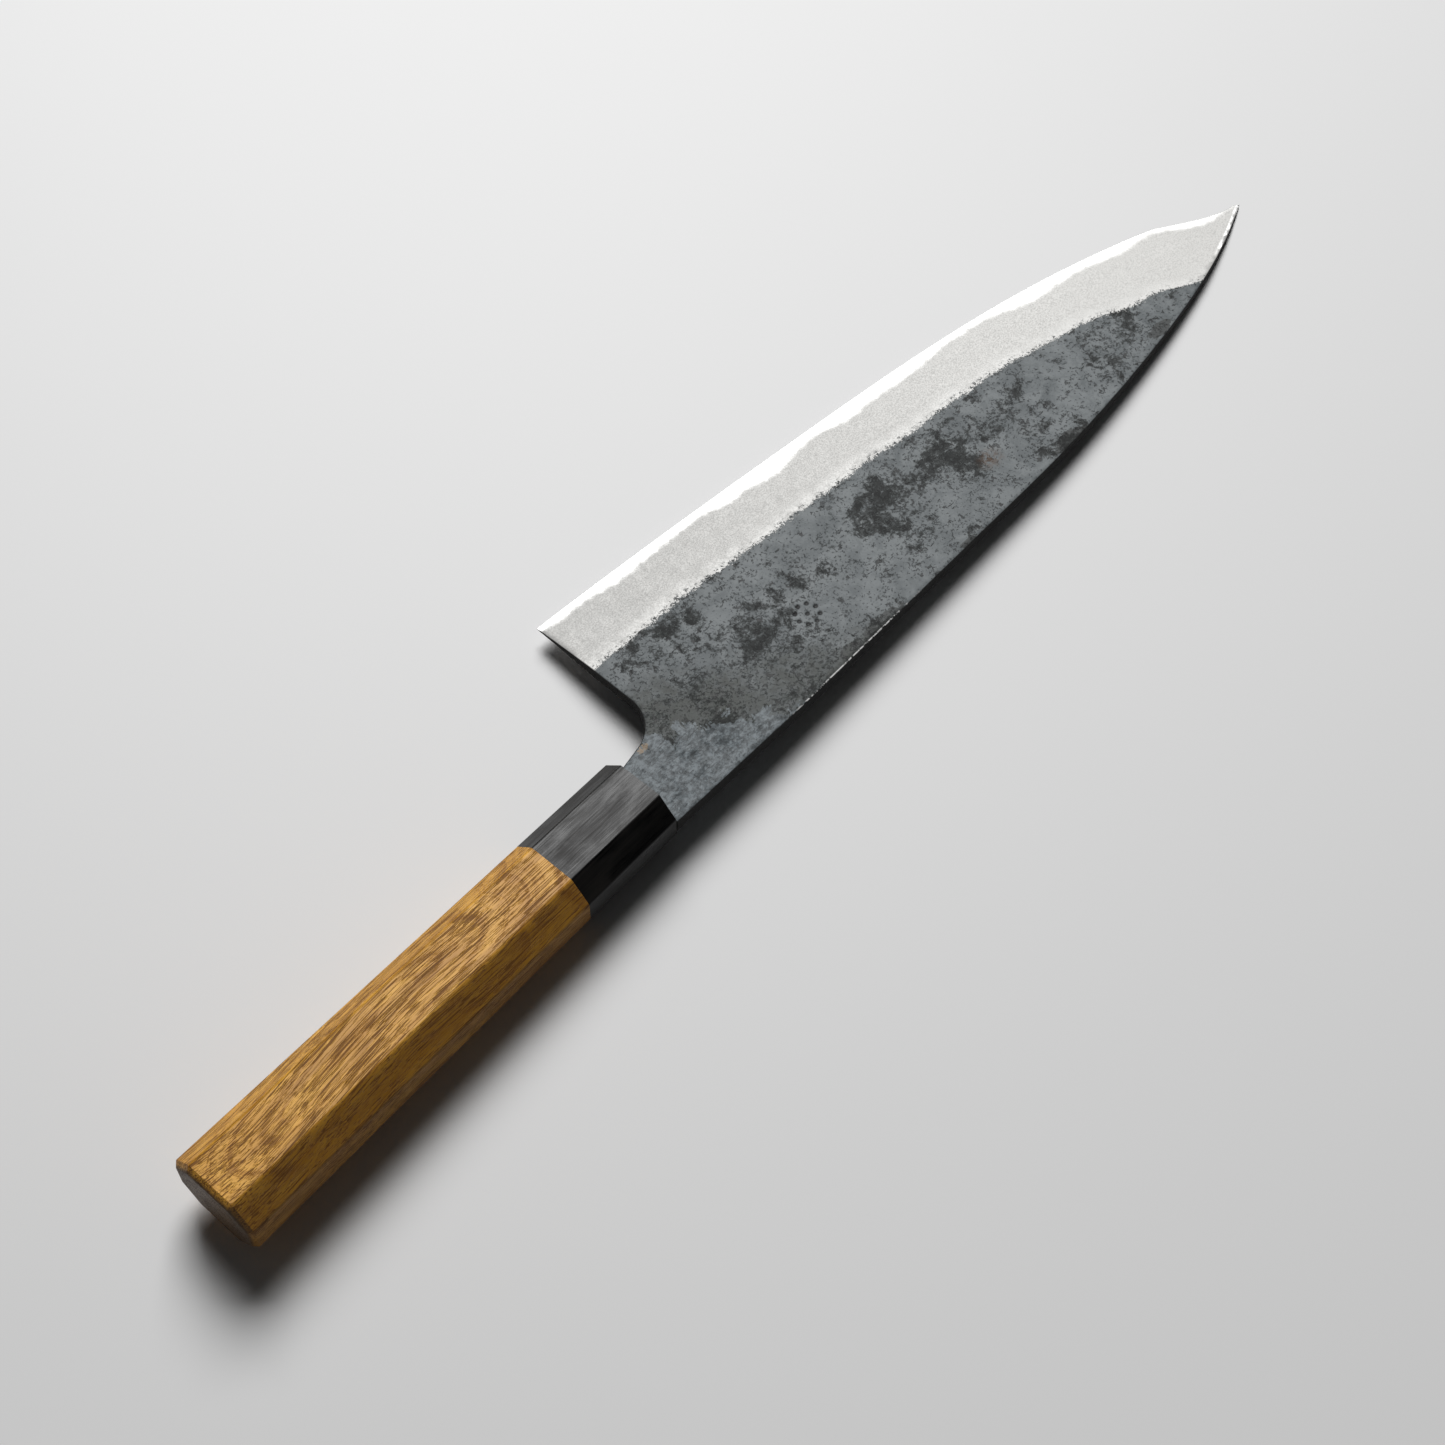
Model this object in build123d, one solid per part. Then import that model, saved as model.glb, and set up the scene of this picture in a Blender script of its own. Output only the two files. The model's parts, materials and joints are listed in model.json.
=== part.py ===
from build123d import *
import math
import os

# A Japanese-style chef knife: a three-layer forged blade on a hidden tang, with an octagonal
# wooden handle behind a black horn ferrule. Millimetres.
#
# The knife is drawn in its own axes and laid on the table at the very end.
#   X runs from the butt to the tip, with 0 on the front face of the ferrule.
#   Y runs from the spine to the cutting edge, with 0 on the axis of the handle.
#   Z is the thickness, with 0 on the middle of the blade and the left face upwards.

os.makedirs("parts", exist_ok=True)

# ---- Blade, seen from the side ----
blade_length = 240.0        # heel to tip, along X
heel_height = 65.8          # spine to cutting edge, at the heel
tip_rise = 17.7             # how far the spine climbs from its straight part to the tip
neck_length = 19.4          # ferrule to heel
neck_edge_offset = 8.1      # axis of the handle to the edge side of the neck, at the ferrule
neck_slope = 10.0           # degrees that the edge side of the neck opens towards the heel
choil_radius = 11.0         # round corner between the neck and the choil
choil_lean = 0.9            # how far the heel stands ahead of the foot of the choil
spine_offset = 12.5         # axis of the handle to the straight part of the spine
neck_spine_offset = 11.6    # axis of the handle to the spine, at the ferrule
shoulder_gap = 0.3          # air between the neck's shoulders and the ferrule

# ---- Blade, through its thickness ----
neck_thickness = 4.4
tip_thickness = 2.8         # of the forged bar; the ground bevels thin the tip itself
flat_thinning = 0.023       # thickness that the bar loses per millimetre from the spine to the edge
edge_thickness = 0.2
core_share = 0.17           # hard steel between two soft iron sides, against the whole thickness

# ---- Tang ----
tang_length = 84.0
tang_root_height = 10.0
tang_end_height = 7.0
tang_root_thickness = 3.8
tang_end_thickness = 2.8

# ---- Handle and ferrule: an octagon that narrows from the butt to the front ----
grip_length = 107.7         # the wood alone
ferrule_length = 30.6
front_height = 23.1
front_thickness = 17.9
front_corner = 5.3          # part of the height that one slanted facet takes
butt_height = 25.2
butt_thickness = 20.6
butt_corner = 5.6
corner_slant = 1.08         # thickness that a slanted facet takes, against its height
butt_chamfer = 1.4

# ---- Inside the handle ----
mouth_wall = 5.0            # solid horn in front of the dowel
mouth_clearance = 0.5       # round the tang, in the ferrule's mouth
mouth_seal_depth = 3.0
dowel_diameter = 14.0
dowel_in_wood = 24.0
dowel_end_gap = 0.6         # room for glue at each end of the dowel
dowel_glue_line = 0.05      # round the dowel, on the radius
slot_clearance = 0.4        # round the tang, in the dowel
tang_hole_diameter = 10.0   # in the wood beyond the dowel
tang_hole_reserve = 3.0     # depth left beyond the end of the tang

# ---- Lying on its right face: where the cutting edge touches the table, heel to tip ----
touch_share = 0.95

# The cutting edge: shares of the blade's length and of the heel's height.
edge_shape = [(0.38, 0.861), (0.654, 0.717), (0.854, 0.524)]
edge_slope_at_heel = -0.075
edge_slope_at_tip = -0.80

# The spine: shares of the blade's length and of the tip's rise. It is straight between two
# places, drops a little towards the neck before the first and climbs to the tip after the second.
neck_drop_start = 0.10
spine_bend_start = 0.49
spine_shape = [(0.755, 0.215), (0.897, 0.542)]
spine_slope_at_tip = 0.45

# Where the ground bevel starts, in the same shares as the cutting edge.
bevel_shape = [(0.0, 0.700), (0.17, 0.660), (0.39, 0.571), (0.576, 0.479), (0.745, 0.333), (0.876, 0.122)]

# Where the blade's thickness is set, as shares of its length.
station_shares = [0.0, 0.15, 0.3, 0.45, 0.6, 0.75, 0.88, 1.0]

outside = 2.0               # how far a cutting tool reaches past what it cuts
slope_reach = 0.5           # each way along X, where a curve's slope is measured
halvings = 40               # of the search for a place on a curve
neck_x = shoulder_gap
heel_x = neck_length
tip_x = heel_x + blade_length
spine_y = -spine_offset


def on_blade(length_share, height_share):
    """A point given as shares of the blade's length and of the heel's height."""
    return (heel_x + length_share * blade_length, spine_y + height_share * heel_height)


heel = on_blade(0, 1)
tip = (tip_x, spine_y + tip_rise)
edge_curve = Spline(
    heel,
    *[on_blade(u, v) for u, v in edge_shape],
    tip,
    tangents=[(1, edge_slope_at_heel), (1, edge_slope_at_tip)],
)
spine_curve = Spline(
    on_blade(spine_bend_start, 0),
    *[(heel_x + u * blade_length, spine_y + v * tip_rise) for u, v in spine_shape],
    tip,
    tangents=[(1, 0), (1, spine_slope_at_tip)],
)
bevel_curve = Spline(*[on_blade(u, v) for u, v in bevel_shape])


def height_on(curve, x):
    """Y of a curve that runs steadily along X. Past its ends it runs straight on."""
    start, end = curve @ 0, curve @ 1
    if x <= start.X:
        slope = curve % 0
        return start.Y + slope.Y / slope.X * (x - start.X)
    if x >= end.X:
        slope = curve % 1
        return end.Y + slope.Y / slope.X * (x - end.X)
    low, high = 0.0, 1.0
    for _ in range(halvings):
        middle = (low + high) / 2
        if (curve @ middle).X < x:
            low = middle
        else:
            high = middle
    return (curve @ low).Y


def blade_outline():
    """The side view of the blade and its neck, without the tang."""
    choil_foot_x = heel_x - choil_lean
    neck_foot_y = neck_edge_offset + math.tan(math.radians(neck_slope)) * (choil_foot_x - neck_x)
    neck_start = (neck_x, neck_edge_offset)
    neck = FilletPolyline(neck_start, (choil_foot_x, neck_foot_y), heel, radius=choil_radius)
    straight_back = Polyline(
        on_blade(spine_bend_start, 0),
        on_blade(neck_drop_start, 0),
        (neck_x, -neck_spine_offset),
        neck_start,
    )
    return make_face([*neck.edges(), edge_curve, spine_curve, *straight_back.edges()])


def half_thickness(x):
    """Half the thickness of the forged bar at the spine."""
    return (neck_thickness - (neck_thickness - tip_thickness) * x / tip_x) / 2


def flat_half_thickness(x, y):
    """Half the thickness of the forged bar at one place on its flats."""
    return half_thickness(x) - flat_thinning / 2 * (y - spine_y)


def section(x, side):
    """A face across X, the same on both sides of the middle, from its points at positive Z."""
    points = side + [(y, -z) for y, z in reversed(side)]
    return make_face(Polyline(*[(x, y, z) for y, z in points], close=True))


def bevel_section(x):
    """What the two ground bevels leave: each meets its flat on the bevel line."""
    along = min(max(x, heel_x), tip_x)
    edge_y = height_on(edge_curve, along)
    bevel_y = height_on(bevel_curve, along)
    at_edge = edge_thickness / 2
    grind = (flat_half_thickness(along, bevel_y) - at_edge) / (edge_y - bevel_y)
    past_edge_y = edge_y + at_edge / 2 / grind
    behind_y = spine_y - outside
    return section(x, [(behind_y, at_edge + grind * (edge_y - behind_y)), (past_edge_y, at_edge / 2)])


def plane_through(a, b, c, inner):
    """The plane through three points, facing away from an inner one."""
    normal = (b - a).cross(c - a)
    return Plane(origin=a, z_dir=normal if normal.dot(a - inner) > 0 else -normal)


def octagon(x, height, thickness, corner):
    """Corners of the handle's section: a tall rectangle with a slanted facet over each corner."""
    half_y, half_z = height / 2, thickness / 2
    quarter = [(half_y, half_z - corner * corner_slant), (half_y - corner, half_z)]
    half = quarter + [(-y, z) for y, z in reversed(quarter)]
    return [Vector(x, y, z) for y, z in half + [(-y, -z) for y, z in half]]


def block(x0, x1, size_y, size_z):
    """A straight bar along X, on the axis of the handle."""
    return Pos((x0 + x1) / 2, 0, 0) * Box(x1 - x0, size_y, size_z)


def rod(x0, x1, diameter):
    """A round bar along X, on the axis of the handle."""
    return Pos((x0 + x1) / 2, 0, 0) * Rot(0, 90, 0) * Cylinder(diameter / 2, x1 - x0)


def between_planes(solid, half_at_spine, slope_x, slope_y):
    """The part of a solid between two planes that lean alike, above and below the middle."""
    for side in (1, -1):
        face = Plane(origin=(0, spine_y, side * half_at_spine), z_dir=(slope_x, slope_y, side))
        solid = split(solid, face, keep=Keep.BOTTOM)
    return solid


# ---- Blade: one forged blank, then its three layers ----
stations = [-outside] + [heel_x + share * blade_length for share in station_shares] + [tip_x + outside]
blank_depth = 2 * neck_thickness
side_view = extrude(Pos(0, 0, -blank_depth / 2) * blade_outline(), blank_depth)
distal_slope = (neck_thickness - tip_thickness) / 2 / tip_x
forged_bar = between_planes(side_view, neck_thickness / 2, distal_slope, flat_thinning / 2)
blade = forged_bar & loft([bevel_section(x) for x in stations])

tang_half_root = (tang_root_height / 2, tang_root_thickness / 2)
tang_half_end = (tang_end_height / 2, tang_end_thickness / 2)
tang = loft([
    section(-tang_length, [(-tang_half_end[0], tang_half_end[1]), tang_half_end]),
    section(neck_x + outside, [(-tang_half_root[0], tang_half_root[1]), tang_half_root]),
])
blank = blade + tang

# The layers are forged thinner together, so the core keeps its share of the bar.
core_steel = between_planes(blank, core_share * neck_thickness / 2, core_share * distal_slope, 0)
claddings = blank - core_steel
cladding_left = split(claddings, Plane.XY, keep=Keep.TOP)
cladding_right = split(claddings, Plane.XY, keep=Keep.BOTTOM)

# ---- Handle: wood and horn are worked to one octagon, then bored and slotted ----
joint_x = -ferrule_length
butt_x = joint_x - grip_length
front = octagon(0, front_height, front_thickness, front_corner)
butt = octagon(butt_x, butt_height, butt_thickness, butt_corner)
inner_point = Vector(joint_x, 0, 0)
octagonal_bar = block(butt_x, 0, 2 * butt_height, 2 * butt_height)
for this, after in zip(range(8), [*range(1, 8), 0]):
    facet = plane_through(front[this], front[after], butt[this], inner_point)
    octagonal_bar = split(octagonal_bar, facet, keep=Keep.BOTTOM)
butt_edges = octagonal_bar.faces().sort_by(Axis.X)[0].edges()
octagonal_bar = chamfer(butt_edges, butt_chamfer)

dowel_bore = dowel_diameter + 2 * dowel_glue_line
dowel_back_x = joint_x - dowel_in_wood
dowel_bore_end_x = dowel_back_x - dowel_end_gap
tang_hole_end_x = -tang_length - tang_hole_reserve
mouth_size = (tang_root_height + 2 * mouth_clearance, tang_root_thickness + 2 * mouth_clearance)
slot_size = (tang_root_height + 2 * slot_clearance, tang_root_thickness + 2 * slot_clearance)

mouth = block(-mouth_wall - outside, outside, *mouth_size)
dowel_hole = rod(dowel_bore_end_x, -mouth_wall, dowel_bore)
tang_hole = rod(tang_hole_end_x, dowel_back_x, tang_hole_diameter)
joint_plane = Plane(origin=(joint_x, 0, 0), z_dir=(1, 0, 0))
ferrule = split(octagonal_bar, joint_plane, keep=Keep.TOP) - mouth - dowel_hole
handle_body = split(octagonal_bar, joint_plane, keep=Keep.BOTTOM) - dowel_hole - tang_hole

# ---- What holds the tang ----
slot = block(dowel_back_x, -mouth_wall - dowel_end_gap, *slot_size)
handle_dowel = rod(dowel_back_x, -mouth_wall - dowel_end_gap, dowel_diameter) - slot
tang_bed = slot + tang_hole - tang
mouth_seal = block(-mouth_seal_depth, 0, *mouth_size) - tang

pieces = {
    "core_steel": core_steel,
    "cladding_left": cladding_left,
    "cladding_right": cladding_right,
    "ferrule": ferrule,
    "handle_body": handle_body,
    "handle_dowel": handle_dowel,
    "tang_bed": tang_bed,
    "mouth_seal": mouth_seal,
}

# ---- Lying on the table ----
# The knife rests on the ferrule's lower front corner and on the belly of its edge. The table
# is the plane through that corner and along the edge where the two meet.
touch_x = heel_x + touch_share * blade_length
touch_y = height_on(edge_curve, touch_x)
edge_rise = height_on(edge_curve, touch_x + slope_reach) - height_on(edge_curve, touch_x - slope_reach)
edge_slope = edge_rise / (2 * slope_reach)
corner_y = front_height / 2 - front_corner
drop = front_thickness / 2 - edge_thickness / 2
climb_y = drop / (touch_y - corner_y - edge_slope * touch_x)
climb_x = -edge_slope * climb_y
up = Vector(-climb_x, -climb_y, 1).normalized()
along = (Vector(1, 0, 0) - up * up.X).normalized()
table = Plane(origin=(0, 0, 0), x_dir=along, z_dir=up)

laid = {name: table.to_local_coords(piece) for name, piece in pieces.items()}
box = Compound(children=[piece.solid() for piece in laid.values()]).bounding_box()
to_origin = Pos(-box.center().X, -box.center().Y, -box.min.Z)

for name, piece in laid.items():
    export_step(to_origin * piece, f"parts/{name}.step")
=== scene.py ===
import bisect
import json
import math

import bmesh
import bpy
import numpy as np
from mathutils import Matrix, Vector, noise


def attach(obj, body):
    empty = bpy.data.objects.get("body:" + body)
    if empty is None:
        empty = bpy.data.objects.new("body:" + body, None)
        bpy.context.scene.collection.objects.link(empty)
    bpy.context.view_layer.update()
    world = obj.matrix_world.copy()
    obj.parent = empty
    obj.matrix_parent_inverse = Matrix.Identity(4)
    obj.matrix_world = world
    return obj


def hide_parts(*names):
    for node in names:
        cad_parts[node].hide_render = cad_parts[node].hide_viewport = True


# A forged chef knife with an octagonal wood handle. Shapes are worked out in the knife's own
# millimetres: X from butt to tip with 0 at the ferrule's front, Y from spine to edge with 0 on the
# handle's axis, Z out of the left face. They are turned into the row frame's metres at the end.
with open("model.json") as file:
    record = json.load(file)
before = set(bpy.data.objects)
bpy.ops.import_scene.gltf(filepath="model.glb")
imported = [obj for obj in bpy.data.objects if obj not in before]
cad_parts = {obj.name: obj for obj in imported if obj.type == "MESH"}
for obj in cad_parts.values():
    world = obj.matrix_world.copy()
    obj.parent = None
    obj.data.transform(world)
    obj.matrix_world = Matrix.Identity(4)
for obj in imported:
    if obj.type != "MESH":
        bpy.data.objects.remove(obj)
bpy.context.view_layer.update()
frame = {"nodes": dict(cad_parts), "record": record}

MM = 0.001
GRIP_FROM_FERRULE_FRONT = 84.45

# The blade: half thicknesses of the forged bar, the ground edge and the layers.
NECK_X = 0.3
SPINE_Y = -12.5
NECK_HALF = 2.2
TIP_HALF = 1.4
FLAT_THINNING = 0.0115
EDGE_HALF = 0.1
CORE_SHARE = 0.17
TANG_ROOT_HALF = 1.9
TANG_END_HALF = 1.4
TANG_LENGTH = 84.0
ARRIS = 0.3
ARRIS_DROP = 0.2
EDGE_FADE = 3.0
BARE_RUN_OUT = 2.0
BARE_FADE = 0.2
SHARP_ANGLE = 32

# The hammered surface of the flats: long waves and small dents, and how they fade at the bevel.
FORGE_WAVE = 0.07
FORGE_WAVE_LENGTH = 17.0
HAMMER_DENT = 0.025
HAMMER_DENT_LENGTH = 5.5
HAMMER_DENT_WIDTH = 4.5
FLAT_FADE = 3.0
BEVEL_FADE = 1.2

# Where the ground bevel meets the forge scale, along X, and how wide the bare core steel shows.
BEVEL_LINE = [
    (20, 33.2), (38, 32.0), (50, 31.8), (60, 30.3), (80, 28.1), (102, 25.7), (113, 24.8), (134, 21.4),
    (146, 20.6), (157, 18.9), (168, 17.5), (177, 14.6), (188, 12.0), (198, 8.8), (206, 4.9), (216, 1.9),
    (228, -4.4), (262, -11.0),
]
CORE_WIDTH = [
    (19, 1.6), (25, 2.6), (32, 2.1), (44, 3.5), (58, 2.9), (75, 2.6), (82, 4.4), (88, 4.0), (97, 5.6),
    (112, 2.6), (124, 4.8), (133, 3.9), (145, 4.1), (156, 3.0), (171, 2.0), (181, 3.0), (191, 5.0),
    (202, 3.5), (212, 3.2), (221, 3.8), (233, 1.7), (242, 3.0), (249, 2.2), (254, 0.5), (262, 0.3),
]

# The blade's mesh: how far apart its cuts are, and how many rows each zone has.
BLADE_STEP = 1.6
TANG_STEP = 12.0
NECK_STEP = 0.02
FLAT_ROWS = 28
BEVEL_ROWS = 10
CORE_ROWS = 4
OUTLINE_STATIONS = 600
TIP_CLEARANCE = 0.02

# Clouds of heavier scale on the flats: x, y, radius along, radius across, strength.
HEAVY_SCALE = [
    (41, 28, 9, 5, 0.7), (52, 10, 9, 9, 0.8), (74, 12, 12, 6, 0.6), (105, 8, 7, 11, 0.9),
    (132, 9, 10, 9, 1.0), (112, 14, 9, 6, 0.6), (26, 23, 8, 9, 0.55), (33, 10, 9, 7, 0.5),
    (27, -1, 9, 5, 0.8), (76, -11, 9, 2.6, 0.9), (17, 8, 6, 6, 0.6), (156, -9, 9, 3, 0.9),
    (187, 1, 7, 9, 0.7), (164, 0, 2.5, 2.0, 0.8), (162, 11, 5, 3, 0.7), (200, 3, 7, 5, 0.5),
]

# Smooth dark patches of scale along the spine: x, y, radius along, radius across.
SPINE_SKIN = [(77, -12, 12, 4.5), (66, -11, 5, 3), (157, -12, 11, 5), (112, -12, 4, 2), (205, -6, 7, 3)]

# A spot of rust and a smear of resin on the flat: x, y, radius along, radius across.
RUST_SPOT = (138, 1, 5, 4)
RESIN_SMEAR = (10.1, 8.6, 2.6, 1.4)

# The wood's grain: the degrees that it slants across the handle, where its pith comes nearest the
# left face, how fast the pith bends away from there, and how close its rings are.
WOOD_SLANT = 6.0
WOOD_SWIRL = (-92.0, 1.5, 7.0)
PITH_BEND = 0.0042
RINGS_PER_MM = 0.62

# The smith's punch: a plain ring of dots on the left flat, round one dot in its middle.
PUNCH_AT = (67.5, 4.6)
PUNCH_RING = 3.2
PUNCH_DOTS = 8
PUNCH_RADIUS = 1.0
PUNCH_DEPTH = 0.3
PUNCH_CUTS = 5

# The handle: how wide its corners and rims are rounded, and how its corners are told from its bore.
HANDLE_ARRIS = 0.45
FERRULE_ARRIS = 0.3
JOINT_ARRIS = 0.16
BUTT_ARRIS = 0.25
MOUTH_ARRIS = 0.55
RIM_REACH = 2.5
OUTSIDE_RADIUS = 7.9
LONG_SIDE = 5.0
CORNER_ANGLE = 15.0
LEVEL_ANGLE = 0.6

# The camera and the light, in metres and degrees round a point on the floor by the blade.
AIM = Vector((-0.0272, -0.0176, 0.0))
CAMERA_AZIMUTH = -52.5
CAMERA_ELEVATION = 61.59
CAMERA_DISTANCE = 0.6045
CAMERA_ROLL = 4.56
CAMERA_LENS = 60.15
LIGHT_AZIMUTH = 48.5
LIGHT_ELEVATION = 50.5
LIGHT_DISTANCE = 2.15
LIGHT_SIZE = 1.15
LIGHT_POWER = 51.0
ROOM_LIGHT = 0.03


# ---------------------------------------------------------------- the knife's axes
def knife_axes():
    """The matrix from knife millimetres to the row frame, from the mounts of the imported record."""
    mounts = {mount["name"]: mount for mount in frame["record"]["mounts"]}
    along = -Vector(mounts["grip"]["axis"]).normalized()
    outward = Vector(mounts["rack_face_left"]["axis"]) - Vector(mounts["rack_face_right"]["axis"])
    outward = (outward - along * outward.dot(along)).normalized()
    edgeward = outward.cross(along)
    origin = Vector(mounts["grip"]["pos_m"]) + along * GRIP_FROM_FERRULE_FRONT * MM
    axes = Matrix((along, edgeward, outward)).transposed().to_4x4()
    return Matrix.Translation(origin) @ axes @ Matrix.Scale(MM, 4)


to_row = knife_axes()
to_knife = to_row.inverted()


def smooth_line(points):
    """A function of x that runs smoothly through the points and stays level beyond both ends."""
    xs = [x for x, _ in points]
    ys = [y for _, y in points]
    inner = range(1, len(xs) - 1)
    slopes = [0.0] + [(ys[i + 1] - ys[i - 1]) / (xs[i + 1] - xs[i - 1]) for i in inner] + [0.0]

    def at(x):
        if x <= xs[0]:
            return ys[0]
        if x >= xs[-1]:
            return ys[-1]
        i = bisect.bisect_right(xs, x) - 1
        width = xs[i + 1] - xs[i]
        t = (x - xs[i]) / width
        start = (1 + 2 * t) * (1 - t) ** 2 * ys[i] + t * (1 - t) ** 2 * width * slopes[i]
        end = t * t * (3 - 2 * t) * ys[i + 1] + t * t * (t - 1) * width * slopes[i + 1]
        return start + end

    return at


def ease_step(value):
    """0 up to 0, 1 from 1, and smooth between."""
    value = min(max(value, 0.0), 1.0)
    return value * value * (3 - 2 * value)


# ---------------------------------------------------------------- meshes
def cad_copy(node):
    """A CAD node's mesh in knife millimetres, with its loose triangles joined."""
    bm = bmesh.new()
    bm.from_mesh(frame["nodes"][node].data)
    bm.transform(to_knife)
    bmesh.ops.remove_doubles(bm, verts=bm.verts, dist=0.002)
    return bm


def everything(bm):
    return bm.verts[:] + bm.edges[:] + bm.faces[:]


def cut(bm, axis, place, geometry=None):
    """Adds edges where the plane at that place along that axis crosses the mesh."""
    point = Vector((0, 0, 0))
    point[axis] = place
    normal = Vector((0, 0, 0))
    normal[axis] = 1
    bmesh.ops.bisect_plane(
        bm, geom=geometry or everything(bm), dist=1e-4, plane_co=point, plane_no=normal,
    )


def cut_row(bm, chosen, place):
    """Adds edges where Y is at the place, across the faces that are chosen by their middles."""
    faces = [face for face in bm.faces if chosen(face.calc_center_median())]
    parts = dict.fromkeys(faces)
    for face in faces:
        parts.update(dict.fromkeys(face.verts))
        parts.update(dict.fromkeys(face.edges))
    cut(bm, 1, place, list(parts))


def as_piece(name, bm, stands_for):
    """Turns a mesh in knife millimetres into a piece that rides on the knife."""
    bm.transform(to_row)
    mesh = bpy.data.meshes.new(name)
    bm.to_mesh(mesh)
    bm.free()
    piece = bpy.data.objects.new(name, mesh)
    bpy.context.scene.collection.objects.link(piece)
    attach(piece, "root")
    for node in stands_for:
        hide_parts(node)
    return piece


# ---------------------------------------------------------------- the blade
def blade_section():
    """The core's outline on its middle plane, tang and all, as one face."""
    bm = cad_copy("core_steel")
    ends = bmesh.ops.bisect_plane(
        bm, geom=everything(bm), dist=1e-4, plane_co=(0, 0, 0), plane_no=(0, 0, 1),
        clear_inner=True, clear_outer=True,
    )["geom_cut"]
    loop = [part for part in ends if isinstance(part, bmesh.types.BMEdge)]
    bmesh.ops.contextual_create(bm, geom=loop)
    bmesh.ops.recalc_face_normals(bm, faces=bm.faces[:])
    if bm.faces[0].normal.z < 0:
        bmesh.ops.reverse_faces(bm, faces=bm.faces[:])
    return bm


def outline_sides(bm):
    """The edge line and the spine line of the section as functions of x, and the heel's x."""
    corners = [vert.co for vert in bm.verts]
    heel_x = max(corners, key=lambda co: co.y).x
    tip_x = max(corners, key=lambda co: co.x).x
    stations = np.linspace(heel_x, tip_x - TIP_CLEARANCE, OUTLINE_STATIONS)
    edge_ys = np.full(len(stations), -1e9)
    spine_ys = np.full(len(stations), 1e9)
    for side in bm.edges:
        a, b = sorted((side.verts[0].co, side.verts[1].co), key=lambda co: co.x)
        if b.x - a.x < 1e-6:
            continue
        spanned = (stations >= a.x) & (stations <= b.x)
        ys = a.y + (stations[spanned] - a.x) * (b.y - a.y) / (b.x - a.x)
        edge_ys[spanned] = np.maximum(edge_ys[spanned], ys)
        spine_ys[spanned] = np.minimum(spine_ys[spanned], ys)
    return (
        lambda x: float(np.interp(x, stations, edge_ys)),
        lambda x: float(np.interp(x, stations, spine_ys)),
        heel_x,
        tip_x,
    )


section = blade_section()
edge_y, spine_y, heel_x, tip_x = outline_sides(section)
bevel_y = smooth_line(BEVEL_LINE)
core_width = smooth_line(CORE_WIDTH)


def core_y(x):
    return edge_y(x) - core_width(x)


def row_of(x, y):
    """0 on the straight of the spine, 1 on the bevel line, 2 where the core shows, 3 on the edge."""
    bevel, core, edge = bevel_y(x), core_y(x), edge_y(x)
    if y < bevel:
        return (y - SPINE_Y) / (bevel - SPINE_Y)
    if y < core:
        return 1 + (y - bevel) / (core - bevel)
    return 2 + (y - core) / (edge - core)


def y_of(x, row):
    bevel, core, edge = bevel_y(x), core_y(x), edge_y(x)
    if row < 1:
        return SPINE_Y + row * (bevel - SPINE_Y)
    if row < 2:
        return bevel + (row - 1) * (core - bevel)
    return core + (row - 2) * (edge - core)


def bar_half(x):
    return NECK_HALF + (TIP_HALF - NECK_HALF) * x / tip_x


def flat_half(x, y):
    return bar_half(x) - FLAT_THINNING * (y - SPINE_Y)


def outer_half(x, y):
    """Half the knife's thickness under a point of the left face."""
    if x < NECK_X - 0.01:
        return TANG_ROOT_HALF + (TANG_END_HALF - TANG_ROOT_HALF) * min(-x / TANG_LENGTH, 1)
    bevel, edge = bevel_y(x), edge_y(x)
    if y < bevel:
        return flat_half(x, y)
    rise = (edge - y) / (edge - bevel)
    return EDGE_HALF + (flat_half(x, bevel) - EDGE_HALF) * max(rise, 0)


def core_half(x, y):
    """Half the core's thickness: thin under the cladding, the whole knife where it is ground bare."""
    inside = min(CORE_SHARE * bar_half(x), outer_half(x, y) * 0.9)
    bare = core_y(x)
    if y >= bare:
        return outer_half(x, y)
    at_line = outer_half(x, bare)
    share = ease_step((bare - y) / BARE_RUN_OUT)
    return min(at_line + (inside - at_line) * share, outer_half(x, y) * 0.98)


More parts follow.
